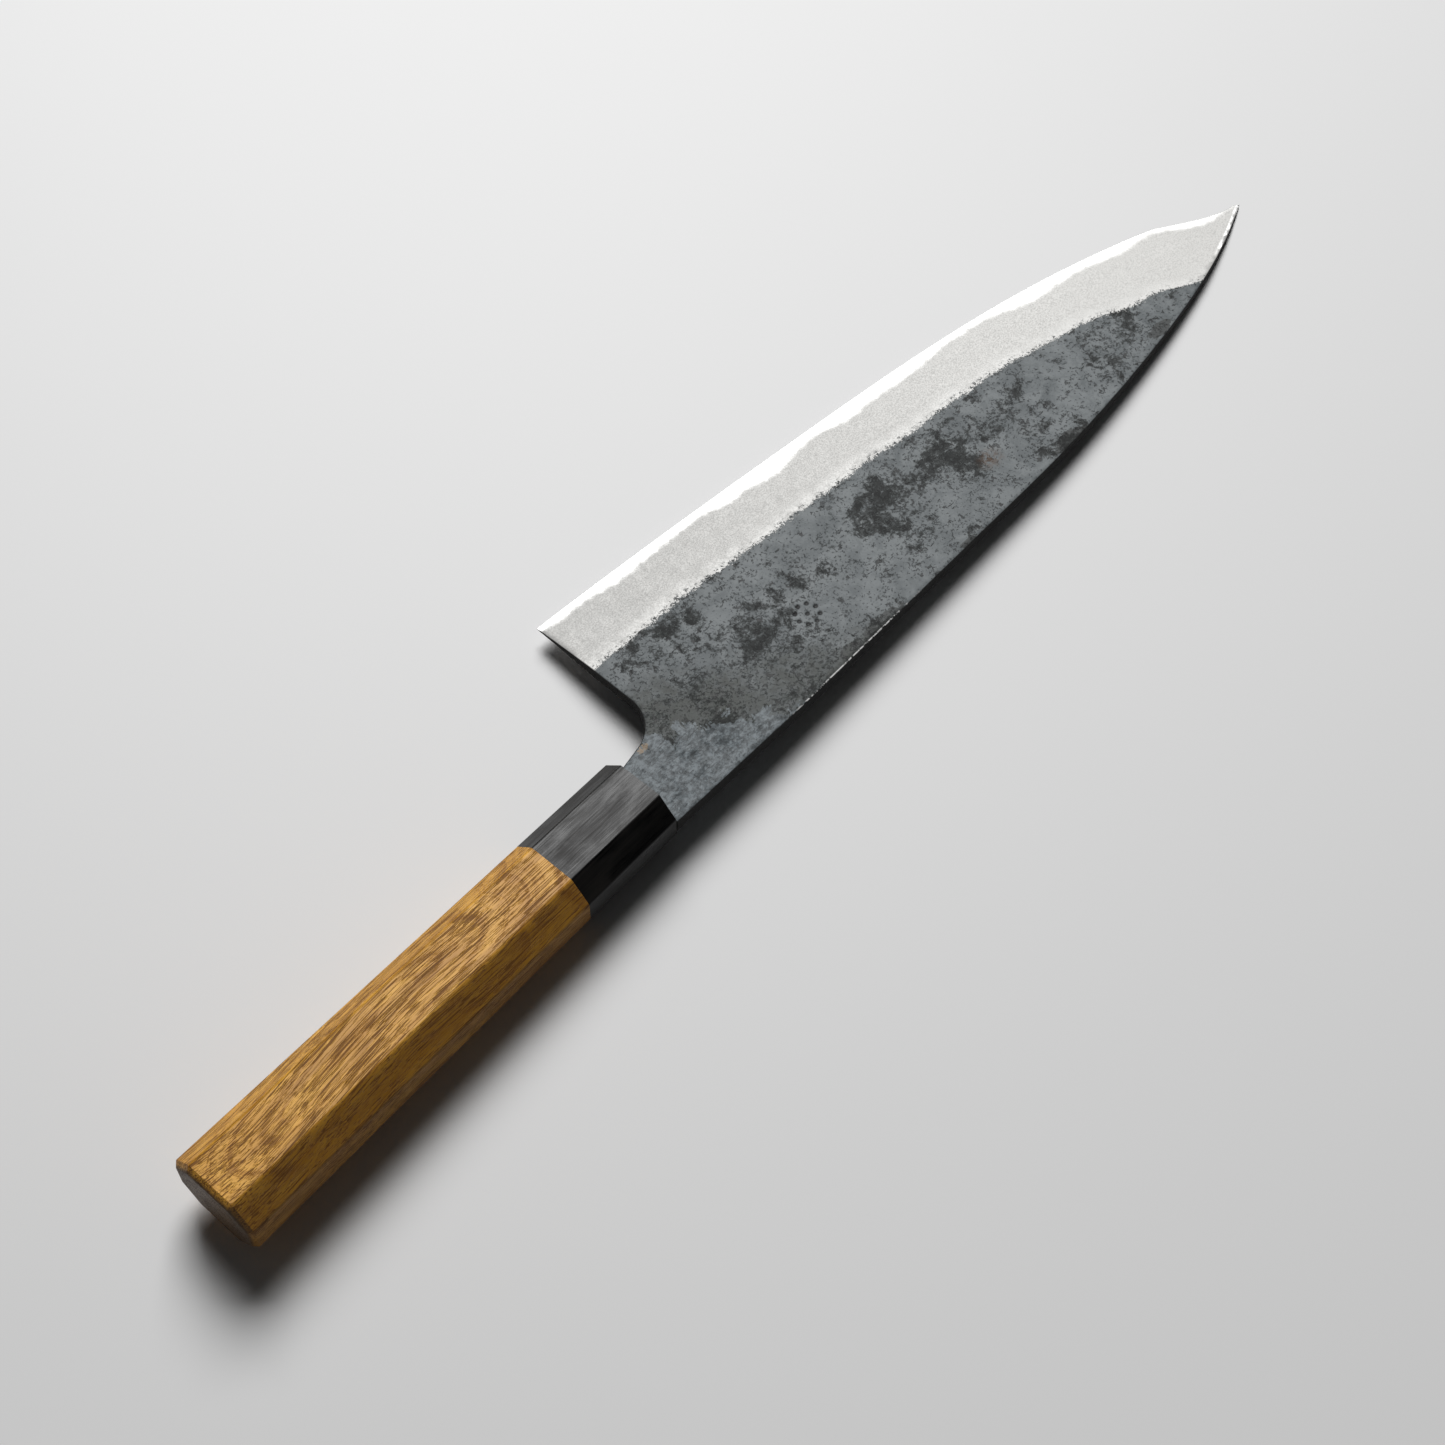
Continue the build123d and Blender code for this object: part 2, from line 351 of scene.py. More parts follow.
def blade_sheet():
    """The section cut into rows that follow the bevel line, the core line and the edge."""
    bm = section
    eased = bm.verts.layers.float.new("eased")
    for vert in bm.verts:
        vert[eased] = 1.0
    bmesh.ops.inset_region(
        bm, faces=bm.faces[:], thickness=ARRIS, use_even_offset=True, use_boundary=True,
    )
    middle = max(bm.faces, key=lambda face: face.calc_area())
    for vert in middle.verts:
        vert[eased] = 0.0
    places = [-TANG_LENGTH + TANG_STEP * i for i in range(int(TANG_LENGTH / TANG_STEP))]
    places += [NECK_X - NECK_STEP, NECK_X + NECK_STEP]
    to_neck = int(heel_x / BLADE_STEP)
    to_tip = int((tip_x - heel_x) / BLADE_STEP)
    places += [heel_x + BLADE_STEP * i for i in range(-to_neck, to_tip + 1)]
    for place in places:
        cut(bm, 0, place)
    rows = [i / FLAT_ROWS for i in range(1, FLAT_ROWS + 1)]
    rows += [1 + i / BEVEL_ROWS for i in range(1, BEVEL_ROWS + 1)]
    rows += [2 + i / CORE_ROWS for i in range(1, CORE_ROWS)]
    for row in rows:
        cut_row(bm, lambda at: at.x < heel_x, y_of(heel_x, row))
    for vert in bm.verts:
        vert.co.y = row_of(vert.co.x, vert.co.y)
    for row in rows:
        cut_row(bm, lambda at: at.x > heel_x, row)
    for vert in bm.verts:
        vert.co.y = y_of(vert.co.x, vert.co.y)
    around = PUNCH_RING + PUNCH_RADIUS + BLADE_STEP / 2
    struck = [face for face in bm.faces if math.dist(face.calc_center_median().xy, PUNCH_AT) < around]
    sides = list(dict.fromkeys(side for face in struck for side in face.edges))
    bmesh.ops.subdivide_edges(bm, edges=sides, cuts=PUNCH_CUTS, use_grid_fill=True)
    return bm


def punch_dots():
    """The middles of the punched dots, on the left flat."""
    x, y = PUNCH_AT
    turns = [2 * math.pi * i / PUNCH_DOTS for i in range(PUNCH_DOTS)]
    ring = [(x + PUNCH_RING * math.cos(turn), y + PUNCH_RING * math.sin(turn)) for turn in turns]
    return ring + [PUNCH_AT]


def punched(x, y):
    """0 on the plain flat, 1 at the bottom of a punched dot."""
    if math.dist((x, y), PUNCH_AT) > PUNCH_RING + PUNCH_RADIUS:
        return 0.0
    nearest = min(math.dist((x, y), dot) for dot in punch_dots())
    return ease_step(1 - nearest / PUNCH_RADIUS)


def forged_relief(x, y, side):
    """How far the hammered flat lies below its true plane. The ground bevel keeps a little of it."""
    if x < NECK_X:
        return 0.0
    swell = noise.noise(Vector((x / FORGE_WAVE_LENGTH, y / FORGE_WAVE_LENGTH, 5.0 * side)))
    dent = noise.noise(Vector((x / HAMMER_DENT_LENGTH, y / HAMMER_DENT_WIDTH, 9.0 + 5.0 * side)))
    flat = ease_step((bevel_y(x) - y) / FLAT_FADE + 0.5)
    near_bevel = ease_step((bevel_y(x) - y) / BEVEL_FADE + 0.5)
    depth = FORGE_WAVE * (0.5 + 0.5 * swell) + HAMMER_DENT * (0.5 + 0.5 * dent)
    depth *= (0.15 + 0.85 * flat) * (0.3 + 0.7 * near_bevel)
    return depth + PUNCH_DEPTH * punched(x, y) if side > 0 else depth


# Where a point of the blade lies, in millimetres, kept on the mesh for its finish.
MASKS = ("from_edge", "past_bevel", "past_core", "from_spine", "from_outline", "dented")


def blade_piece(name, sheet, keep, outer, inner, side, stands_for):
    """A closed layer of the blade from the part of the sheet to keep, between two surfaces."""
    bm = sheet.copy()
    bm.verts.ensure_lookup_table()
    unwanted = [face for face in bm.faces if not keep(face.calc_center_median())]
    bmesh.ops.delete(bm, geom=unwanted, context="FACES")
    for name_of_mask in MASKS:
        bm.verts.layers.float.new(name_of_mask)
    eased = bm.verts.layers.float["eased"]
    masks = [bm.verts.layers.float[name_of_mask] for name_of_mask in MASKS]
    for vert in bm.verts:
        x, y = vert.co.x, vert.co.y
        rim = ARRIS * (1 - vert[eased])
        dented = punched(x, y) if side > 0 else 0.0
        values = (edge_y(x) - y, bevel_y(x) - y, y - core_y(x), y - spine_y(x), rim, dented)
        for mask, value in zip(masks, values):
            vert[mask] = value
    from_edge = masks[0]
    grown = bmesh.ops.extrude_face_region(bm, geom=bm.faces[:], use_keep_orig=True)["geom"]
    raised = {part for part in grown if isinstance(part, bmesh.types.BMVert)}
    for vert in bm.verts:
        x, y = vert.co.x, vert.co.y
        on_edge = ease_step(1 - vert[from_edge] / EDGE_FADE)
        drop = ARRIS_DROP * vert[eased] * (1 - on_edge) if x > NECK_X else 0.0
        vert.co.z = outer(x, y, drop) if vert in raised else inner(x, y, drop)
    bmesh.ops.recalc_face_normals(bm, faces=bm.faces[:])
    for face in bm.faces:
        face.smooth = True
    piece = as_piece(name, bm, stands_for)
    piece.data.set_sharp_from_angle(angle=math.radians(SHARP_ANGLE))
    return piece


def cladding(side, name, node, sheet):
    """One soft iron side, from the spine down to where the core shows."""

    def face_of_knife(x, y, drop):
        return side * (outer_half(x, y) - drop - forged_relief(x, y, side))

    def against_core(x, y, drop):
        return side * core_half(x, y) * 0.999

    return blade_piece(
        name, sheet, lambda at: at.y < core_y(at.x), face_of_knife, against_core, side,
        [node],
    )


def core(sheet):
    """The hard steel between the claddings, bare along the edge, with its share of the tang."""

    def face(x, y, side):
        bare = ease_step((y - core_y(x)) / BARE_FADE + 1)
        return side * (core_half(x, y) - forged_relief(x, y, side) * bare)

    def left(x, y, drop):
        return face(x, y, 1)

    def right(x, y, drop):
        return face(x, y, -1)

    return blade_piece(
        "core_steel_blade", sheet, lambda at: True, left, right, 1, ["core_steel"],
    )


# ---------------------------------------------------------------- the handle
def octagonal_piece(name, node, arris, end_rims):
    """The CAD bar with its long corners and the rims at its ends softened, flat between them."""
    bm = cad_copy(node)
    bmesh.ops.dissolve_limit(
        bm, angle_limit=math.radians(LEVEL_ANGLE), use_dissolve_boundaries=False,
        verts=bm.verts[:], edges=bm.edges[:], delimit=set(),
    )
    long_corners = []
    rims = {place: [] for place, _ in end_rims}
    for side in bm.edges:
        if len(side.link_faces) != 2:
            continue
        a, b = side.verts[0].co, side.verts[1].co
        reach = min(math.hypot(a.y, a.z), math.hypot(b.y, b.z))
        if reach < OUTSIDE_RADIUS or side.calc_face_angle(0) < math.radians(CORNER_ANGLE):
            continue
        if abs(a.x - b.x) > LONG_SIDE:
            long_corners.append(side)
            continue
        for place in rims:
            if abs((a.x + b.x) / 2 - place) < RIM_REACH:
                rims[place].append(side)
    softened = [(long_corners, arris)] + [(rims[place], width) for place, width in end_rims]
    for chosen, width in softened:
        still_there = [side for side in chosen if side.is_valid]
        made = bmesh.ops.bevel(
            bm, geom=still_there, offset=width, offset_type="OFFSET", affect="EDGES", segments=3,
            profile=0.5, material=-1, clamp_overlap=True,
        )
        for face in made["faces"]:
            face.smooth = True
    return as_piece(name, bm, [node])


# ---------------------------------------------------------------- finishes
class Finish:
    """A material being wired up. Its pattern sockets are in knife millimetres."""

    def __init__(self, name, **uniform):
        self.material = bpy.data.materials.new(name)
        self.material.use_nodes = True
        self.tree = self.material.node_tree
        self.tree.nodes.clear()
        self.shader = self.node("ShaderNodeBsdfPrincipled")
        for socket, value in uniform.items():
            self.shader.inputs[socket.replace("_", " ")].default_value = value
        surface = self.node("ShaderNodeOutputMaterial")
        self.tree.links.new(self.shader.outputs["BSDF"], surface.inputs["Surface"])
        place = self.node("ShaderNodeTexCoord").outputs["Object"]
        turned = self.node("ShaderNodeMapping", {"Vector": place})
        turned.inputs["Scale"].default_value = (1 / MM,) * 3
        turned.inputs["Rotation"].default_value = to_knife.to_quaternion().to_euler()
        turned.inputs["Location"].default_value = to_knife.translation
        self.at = turned.outputs["Vector"]

    def node(self, kind, inputs=None, **settings):
        made = self.tree.nodes.new(kind)
        for key, value in settings.items():
            setattr(made, key, value)
        for key, value in (inputs or {}).items():
            self.put(made.inputs[key], value)
        return made

    def put(self, socket, value):
        if isinstance(value, bpy.types.NodeSocket):
            self.tree.links.new(value, socket)
        else:
            socket.default_value = value

    def set(self, **values):
        for key, value in values.items():
            self.put(self.shader.inputs[key.replace("_", " ")], value)

    def stretched(self, scale, turn=(0, 0, 0), shift=(0, 0, 0)):
        """The knife coordinate scaled along each axis, for a pattern that runs one way."""
        node = self.node("ShaderNodeMapping", {"Vector": self.at, "Scale": scale, "Location": shift})
        node.inputs["Rotation"].default_value = [math.radians(angle) for angle in turn]
        return node.outputs["Vector"]

    def noise(self, scale, detail=4.0, roughness=0.55, distortion=0.0, at=None):
        node = self.node("ShaderNodeTexNoise", {
            "Vector": at or self.at, "Scale": scale, "Detail": detail, "Roughness": roughness,
            "Distortion": distortion,
        })
        return node.outputs["Fac"]

    def cells(self, scale):
        return self.node("ShaderNodeTexVoronoi", {"Vector": self.at, "Scale": scale}).outputs["Distance"]

    def attribute(self, name):
        return self.node("ShaderNodeAttribute", attribute_name=name).outputs["Fac"]

    def math(self, operation, a, b=0.0, c=0.0):
        node = self.node("ShaderNodeMath", operation=operation)
        for socket, value in zip(node.inputs, (a, b, c)):
            self.put(socket, value)
        return node.outputs["Value"]

    def between(self, value, low, high, to_low=0.0, to_high=1.0, smooth=True):
        """0 where the value is at low and 1 where it is at high, or between two other numbers."""
        node = self.node("ShaderNodeMapRange", {
            "Value": value, "From Min": low, "From Max": high, "To Min": to_low, "To Max": to_high,
        }, interpolation_type="SMOOTHSTEP" if smooth else "LINEAR")
        return node.outputs["Result"]

    def swing(self, pattern, reach):
        """A noise pattern made a number that swings about 0, as far as the reach each way."""
        return self.between(pattern, 0.3, 0.7, -reach, reach, smooth=False)

    def sum(self, *terms):
        total = terms[0]
        for term in terms[1:]:
            total = self.math("ADD", total, term)
        return total

    def product(self, *terms):
        total = terms[0]
        for term in terms[1:]:
            total = self.math("MULTIPLY", total, term)
        return total

    def blend(self, share, a, b):
        node = self.node("ShaderNodeMix", data_type="RGBA")
        for socket, value in ((node.inputs[0], share), (node.inputs[6], a), (node.inputs[7], b)):
            self.put(socket, (*value, 1) if isinstance(value, tuple) and len(value) == 3 else value)
        return node.outputs[2]

    def blend_value(self, share, a, b):
        node = self.node("ShaderNodeMix", data_type="FLOAT")
        for socket, value in ((node.inputs[0], share), (node.inputs[2], a), (node.inputs[3], b)):
            self.put(socket, value)
        return node.outputs[0]

    def ragged(self, scale, reach):
        """The knife coordinate pushed about by noise, so that a shape read on it has a torn outline."""
        push = self.node("ShaderNodeTexNoise", {
            "Vector": self.at, "Scale": scale, "Detail": 5.0, "Roughness": 0.65,
        })
        centred = self.node("ShaderNodeVectorMath", {
            0: push.outputs["Color"], 1: (0.5, 0.5, 0.5),
        }, operation="SUBTRACT")
        return self.node("ShaderNodeVectorMath", {
            0: centred.outputs["Vector"], 1: (reach, reach, reach), 2: self.at,
        }, operation="MULTIPLY_ADD").outputs["Vector"]

    def patch(self, x, y, along, across, at=None):
        """1 in the middle of an oval on the flat, fading to 0 at its rim, through the whole blade."""
        middle = self.node("ShaderNodeMapping", {
            "Vector": at or self.at, "Scale": (1 / along, 1 / across, 0),
            "Location": (-x / along, -y / across, 0),
        })
        ball = self.node("ShaderNodeTexGradient", {
            "Vector": middle.outputs["Vector"],
        }, gradient_type="SPHERICAL")
        return ball.outputs["Fac"]

    def bump(self, height, distance):
        node = self.node("ShaderNodeBump", {
            "Height": height, "Distance": distance * MM, "Strength": 1.0,
        })
        return node.outputs["Normal"]


class BladeFinish(Finish):
    """Forged and ground steel. The blade's masks say how far a point is from each of its lines."""

    def __init__(self, name, seed):
        super().__init__(name, Specular_IOR_Level=0.32)
        self.here = self.stretched((1, 1, 1), shift=(seed * 37.0, seed * 11.0, 0))
        place = self.node("ShaderNodeSeparateXYZ", {"Vector": self.at}).outputs
        self.x = place["X"]
        self.y = place["Y"]
        self.past_bevel = self.attribute("past_bevel")
        self.from_spine = self.attribute("from_spine")
        self.mottle = self.noise(0.2, 7, 0.66, 0.5, self.here)
        self.grain = self.noise(0.75, 8, 0.74, 0.2, self.here)
        self.crumbs = self.noise(1.15, 5, 0.7, 0.0, self.here)
        self.sand = self.noise(2.6, 4, 0.7, 0.0, self.here)
        self.matt = self.noise(0.3, 7, 0.7, 0.2, self.here)

    def under_scale(self):
        """1 under the scale, which ends in a fine ragged line with crumbs of it beyond."""
        wander = self.sum(
            self.swing(self.noise(0.16, 3, 0.6, 0.3, self.here), 0.5),
            self.swing(self.grain, 0.6),
            self.swing(self.noise(2.2, 4, 0.7, 0.0, self.here), 0.9),
        )
        whole = self.between(self.sum(self.past_bevel, wander), -0.1, 0.1)
        stray = self.product(self.between(self.crumbs, 0.56, 0.59), self.between(self.past_bevel, -2.2, -0.6))
        return self.math("MAXIMUM", whole, stray)

    def thickness_of_scale(self):
        """How thick the scale is: most in its clouds, with a little more along the bevel."""
        torn = self.ragged(0.11, 22.0)
        heavy = 0.0
        for x, y, along, across, strength in HEAVY_SCALE:
            cloud = self.patch(x, y, along * 1.5, across * 1.5, torn)
            heavy = self.math("MULTIPLY_ADD", cloud, strength, heavy)
        return self.sum(
            self.product(heavy, 0.85),
            self.product(self.between(self.past_bevel, 7.0, 0.5), 0.08),
            self.swing(self.noise(0.055, 4, 0.55, 0.4, self.here), 0.3),
            self.swing(self.mottle, 0.6),
        )

    def slate_and_soot(self, smoky):
        """Slate blue scale, smoked dark where it is thick."""
        drift = self.noise(0.13, 5, 0.6, 0.8, self.here)
        tone = self.math("MULTIPLY_ADD", drift, 0.6, self.product(self.grain, 0.4))
        slate = self.blend(self.between(tone, 0.38, 0.62), (0.1, 0.114, 0.12), (0.186, 0.203, 0.209))
        soot = self.blend(self.between(self.crumbs, 0.38, 0.62), (0.03, 0.032, 0.03), (0.08, 0.085, 0.082))
        return self.blend(self.product(smoky, 0.78), slate, soot)

    def spine_skin(self, colour):
        """Smooth dark skin lies in flat patches along the spine."""
        skin = 0.0
        for x, y, along, across in SPINE_SKIN:
            skin = self.math("MAXIMUM", skin, self.patch(x, y, along, across))
        skin = self.sum(skin, self.swing(self.mottle, 0.3))
        return self.blend(self.between(skin, 0.3, 0.37, 0.0, 0.85), colour, (0.036, 0.039, 0.038))

    def rubbed_neck(self, colour, slant, neck):
        """The neck is rubbed bluer, up to a sharp ragged edge with greenish scale beyond it."""
        olive = self.blend(self.between(self.grain, 0.38, 0.6), (0.022, 0.025, 0.022), (0.062, 0.069, 0.063))
        green = self.product(self.between(slant, 66.0, 42.0), self.between(self.mottle, 0.4, 0.6, 0.95, 0.5))
        colour = self.blend(green, colour, olive)
        rubbing = self.noise(0.5, 7, 0.72, 0.3, self.stretched((0.8, 1.2, 1), (0, 0, -20)))
        worn = self.math("MULTIPLY_ADD", rubbing, 0.6, self.product(self.grain, 0.4))
        blue = self.blend(self.between(worn, 0.4, 0.6), (0.05, 0.06, 0.065), (0.2, 0.227, 0.243))
        drawn = self.noise(1.0, 3, 0.6, 0.4, self.stretched((0.22, 2.6, 1), (0, 0, -28)))
        scratches = self.between(drawn, 0.6, 0.64)
        blue = self.blend(self.product(scratches, 0.7), blue, (0.03, 0.033, 0.034))
        return self.blend(neck, colour, blue)

    def pits(self, thick, neck):
        """Black pepper and larger black pits, most where the scale is thick, few on the neck."""
        pepper = self.between(self.math("MULTIPLY_ADD", thick, 0.14, self.crumbs), 0.575, 0.605)
        craters = self.math("MULTIPLY_ADD", thick, 0.1, self.noise(0.62, 4, 0.66, 0.8, self.here))
        marks = self.math("MAXIMUM", self.product(pepper, 0.8), self.between(craters, 0.61, 0.635))
        return self.product(marks, self.between(neck, 0.0, 1.0, 1.0, 0.45))

    def marked(self, colour, marks):
        """The pits, pale chips, a spot of rust, a smear of resin and the scale in the punched dots."""
        colour = self.blend(self.product(marks, 0.9), colour, (0.013, 0.014, 0.014))
        chips = self.noise(2.6, 3, 0.65, 0.0, self.stretched((0.55, 1.3, 1), (0, 0, 30)))
        flecks = self.between(chips, 0.66, 0.72)
        colour = self.blend(self.product(flecks, 0.45), colour, (0.27, 0.29, 0.3))
        rust = self.product(self.patch(*RUST_SPOT), self.between(self.grain, 0.42, 0.55))
        colour = self.blend(rust, colour, (0.09, 0.052, 0.03))
        residue = self.product(self.patch(*RESIN_SMEAR), self.between(self.crumbs, 0.4, 0.5))
        colour = self.blend(self.between(residue, 0.2, 0.4), colour, (0.28, 0.22, 0.16))
        dots = self.between(self.attribute("dented"), 0.05, 0.5, 0.0, 0.9)
        return self.blend(dots, colour, (0.009, 0.009, 0.009))

    def ground_iron(self):
        """Frosted iron, brighter towards the tip and along the scale."""
        iron = self.blend(self.between(self.matt, 0.3, 0.7), (0.37, 0.368, 0.357), (0.435, 0.432, 0.42))
        iron = self.blend(self.between(self.x, 20, 240, 0.05, 0.8), iron, (0.56, 0.556, 0.54))
        iron = self.blend(self.between(self.sand, 0.44, 0.66, 0.0, 0.4), iron, (0.28, 0.277, 0.268))
        near_scale = self.product(
            self.between(self.past_bevel, -5.5, -0.6), self.between(self.matt, 0.35, 0.6, 0.15, 0.75),
        )
        return self.blend(near_scale, iron, (0.6, 0.597, 0.583))

    def polish(self):
        """1 on the core, which the sharpening stone has polished, and on the spine by the tip."""
        wet = self.between(self.sum(self.attribute("past_core"), self.swing(self.matt, 0.6)), -1.0, 1.9)
        tip_spine = self.product(self.between(self.from_spine, 1.5, 0.9), self.between(self.x, 236, 243))
        return self.math("MAXIMUM", wet, tip_spine)

    def spine_glints(self, colour):
        """Bright dashes painted on the spine's corner: painted highlights, standing for the glints off its
        rounded arris.
        """
        corner = self.product(
            self.between(self.from_spine, 0.42, 0.3), self.between(self.from_spine, 0.02, 0.1),
        )
        broken = self.between(self.noise(0.55, 4, 0.7, 0.0, self.here), 0.46, 0.52)
        stretch = self.product(self.between(self.x, 96, 80), self.between(self.x, 38, 50))
        return self.blend(self.product(corner, broken, stretch), colour, (0.75, 0.75, 0.74))


def blade_finish(name, seed):
    """Blue-black forge scale on the flats, stone-ground iron on the bevel and bright core steel."""
    f = BladeFinish(name, seed)
    from_outline = f.attribute("from_outline")
    # The walls round the outline, and the rounded arris just inside them away from the edge, are painted
    # near-black below: partly the black scale, partly painted shade on faces that turn away from the light.
    wall = f.between(from_outline, 0.07, 0.01)
    off_edge = f.between(f.attribute("from_edge"), 0.6, 1.4)
    shaded_arris = f.product(f.between(from_outline, 0.28, 0.1), off_edge)
    scaled = f.under_scale()
    thick = f.thickness_of_scale()
    smoky = f.between(f.sum(thick, f.swing(f.grain, 0.4)), 0.26, 0.64)
    slant = f.sum(f.math("MULTIPLY_ADD", f.y, 1.6, f.x), f.swing(f.mottle, 9.0))
    neck = f.between(slant, 27.0, 26.0)
    marks = f.pits(thick, neck)
    bright = f.polish()

    scale_colour = f.slate_and_soot(smoky)
    scale_colour = f.spine_skin(scale_colour)
    scale_colour = f.rubbed_neck(scale_colour, slant, neck)
    scale_colour = f.marked(scale_colour, marks)
    metal = f.blend(bright, f.ground_iron(), (0.68, 0.678, 0.668))
    colour = f.blend(scaled, metal, scale_colour)
    # Painted shade together with the black scale: near-black on the outline's walls and on its rounded arris.
    colour = f.blend(f.math("MAXIMUM", wall, shaded_arris), colour, (0.01, 0.01, 0.0095))

    scale_rough = f.blend_value(smoky, f.between(f.grain, 0.3, 0.7, 0.52, 0.62), 0.78)
    metal_rough = f.blend_value(bright, f.between(f.sand, 0.3, 0.7, 0.58, 0.68), 0.42)
    crust = f.sum(f.product(f.mottle, 0.6), f.product(f.grain, 0.5), f.product(marks, -0.5))
    f.set(
        # The bright dashes on the spine's corner are painted highlights.
        Base_Color=f.spine_glints(colour),
        Metallic=f.blend_value(f.math("MAXIMUM", scaled, wall), f.blend_value(bright, 0.5, 0.85), 0.0),
        Roughness=f.blend_value(wall, f.blend_value(scaled, metal_rough, scale_rough), 0.8),
        Normal=f.bump(f.blend_value(scaled, f.product(f.sand, 0.12), crust), 0.11),
    )
    return f.material


def horn_finish():
    """Black buffalo horn, rubbed to a satin shine, with fine streaks along the handle."""
    f = Finish("buffalo_horn", Specular_IOR_Level=0.25)
    fibres = f.noise(1.0, 5, 0.65, 0.0, f.stretched((0.05, 2.6, 2.6)))
    hairs = f.noise(1.0, 3, 0.6, 0.0, f.stretched((0.16, 8.0, 8.0)))
    cloud = f.noise(0.12, 4, 0.55, 0.5, f.stretched((0.5, 1.4, 1.4)))
    tone = f.sum(f.product(fibres, 0.6), f.product(cloud, 0.4))
    f.set(
        Base_Color=f.blend(f.between(tone, 0.44, 0.64), (0.001, 0.001, 0.0011), (0.009, 0.0075, 0.006)),
        Roughness=f.sum(
            f.between(fibres, 0.3, 0.7, 0.3, 0.46),
            f.between(hairs, 0.3, 0.7, -0.05, 0.07),
            f.between(cloud, 0.35, 0.65, -0.07, 0.1),
        ),
        Normal=f.bump(f.sum(f.product(fibres, 0.7), hairs), 0.012),
    )
    return f.material


class WoodFinish(Finish):
    """Wood whose grain slants and sways a little on its way along the handle."""

    def __init__(self, name, **uniform):
        super().__init__(name, **uniform)
        sway = self.noise(1.0, 0, 0.5, 0.0, self.stretched((0.02, 0.012, 0.012)))
        lift = self.noise(1.0, 0, 0.5, 0.0, self.stretched((0.03, 0.012, 0.012), shift=(5, 5, 5)))
        drift = self.node("ShaderNodeCombineXYZ", {
            "X": 0.0,
            "Y": self.between(sway, 0.0, 1.0, -5.0, 5.0, smooth=False),
            "Z": self.between(lift, 0.0, 1.0, -3.0, 3.0, smooth=False),
        }).outputs["Vector"]
        added = self.node("ShaderNodeVectorMath", {0: self.at, 1: drift}, operation="ADD")
        self.swayed = added.outputs["Vector"]

    def along_grain(self, along, across, shift=0.0):
        """The swayed coordinate, scaled one way along the grain and another across it."""
        node = self.node("ShaderNodeMapping", {
            "Vector": self.swayed, "Scale": (along, across, across), "Location": (shift, shift, shift),
            "Rotation": (0, 0, math.radians(WOOD_SLANT)),
        })
        return node.outputs["Vector"]

    def growth_rings(self):
        """Tubes round a pith that comes nearest the left face where the wood's figure is."""
        figure_x, pith_y, pith_z = WOOD_SWIRL
        place = self.node("ShaderNodeSeparateXYZ", {"Vector": self.swayed}).outputs
        from_figure = self.math("SUBTRACT", place["X"], figure_x)
        sunk = self.product(from_figure, from_figure, PITH_BEND)
        deep = self.math("SUBTRACT", self.sum(place["Z"], sunk), pith_z)
        aside = self.math("SUBTRACT", place["Y"], pith_y)
        radius = self.math("SQRT", self.sum(self.product(deep, deep), self.product(aside, aside)))
        across_rings = self.node("ShaderNodeCombineXYZ", {
            "X": self.product(radius, RINGS_PER_MM), "Y": 0.0, "Z": 0.0,
        }).outputs["Vector"]
        return self.noise(1.0, 3, 0.6, 0.0, across_rings)


def wood_finish(butt_x):
    """Oiled golden-brown open-grained hardwood, with long dark pores that run along the handle."""
    f = WoodFinish("oiled_hardwood", Specular_IOR_Level=0.28)
    place = f.node("ShaderNodeSeparateXYZ", {"Vector": f.at}).outputs
    rings = f.growth_rings()
    bands = f.noise(1.0, 4, 0.6, 0.2, f.along_grain(0.02, 0.42))
    streaks = f.noise(1.0, 3, 0.6, 0.0, f.along_grain(0.03, 1.2, 11.0))
    hue = f.noise(0.06, 3, 0.5, 0.0)
    base = f.blend(f.between(rings, 0.36, 0.66), (0.8, 0.42, 0.06), (0.66, 0.31, 0.032))
    base = f.blend(f.between(rings, 0.5, 0.58, 0.0, 0.3), base, (0.36, 0.15, 0.012))
    base = f.blend(f.between(streaks, 0.48, 0.62, 0.0, 0.35), base, (0.34, 0.135, 0.01))
    base = f.blend(f.between(bands, 0.45, 0.7, 0.0, 0.55), base, (0.33, 0.135, 0.014))
    base = f.blend(f.between(hue, 0.4, 0.7, 0.0, 0.35), base, (0.5, 0.22, 0.024))

    # The side towards the spine is painted darker: painted shade for the facets that turn away from the
    # light.
    spine_side_shade = f.between(place["Y"], -4.5, -8.5, 0.0, 0.6)
    base = f.blend(spine_side_shade, base, (0.2, 0.085, 0.006))

    # Pores stand open where the rings and broad zones of the wood are loose.
    zones = f.noise(1.0, 3, 0.6, 0.0, f.along_grain(0.05, 0.3, 3.0))
    loose = f.sum(f.between(rings, 0.34, 0.66, -0.035, 0.035, smooth=False), f.swing(zones, 0.05))
    pores = f.noise(1.0, 2, 0.55, 0.0, f.along_grain(0.06, 3.1))
    fine_pores = f.noise(1.0, 2, 0.5, 0.0, f.along_grain(0.13, 5.4, 7.0))
    dark_pores = f.between(f.sum(pores, loose), 0.55, 0.578)
    hair_pores = f.between(f.sum(fine_pores, loose), 0.545, 0.575)
    base = f.blend(f.product(hair_pores, 0.7), base, (0.21, 0.085, 0.01))
    base = f.blend(f.product(dark_pores, 0.8), base, (0.13, 0.048, 0.006))

    # End grain soaks up the oil and looks darker.
    end_grain = f.between(place["X"], butt_x + 0.9, butt_x + 0.1)
    base = f.blend(f.product(end_grain, 0.85), base, (0.06, 0.032, 0.014))
    hollow = f.math("MAXIMUM", dark_pores, f.product(hair_pores, 0.6))
    f.set(
        Base_Color=base,
        Roughness=f.between(hollow, 0.0, 1.0, 0.42, 0.66, smooth=False),
        Normal=f.bump(f.math("SUBTRACT", f.product(bands, 0.3), hollow), 0.06),
    )
    return f.material


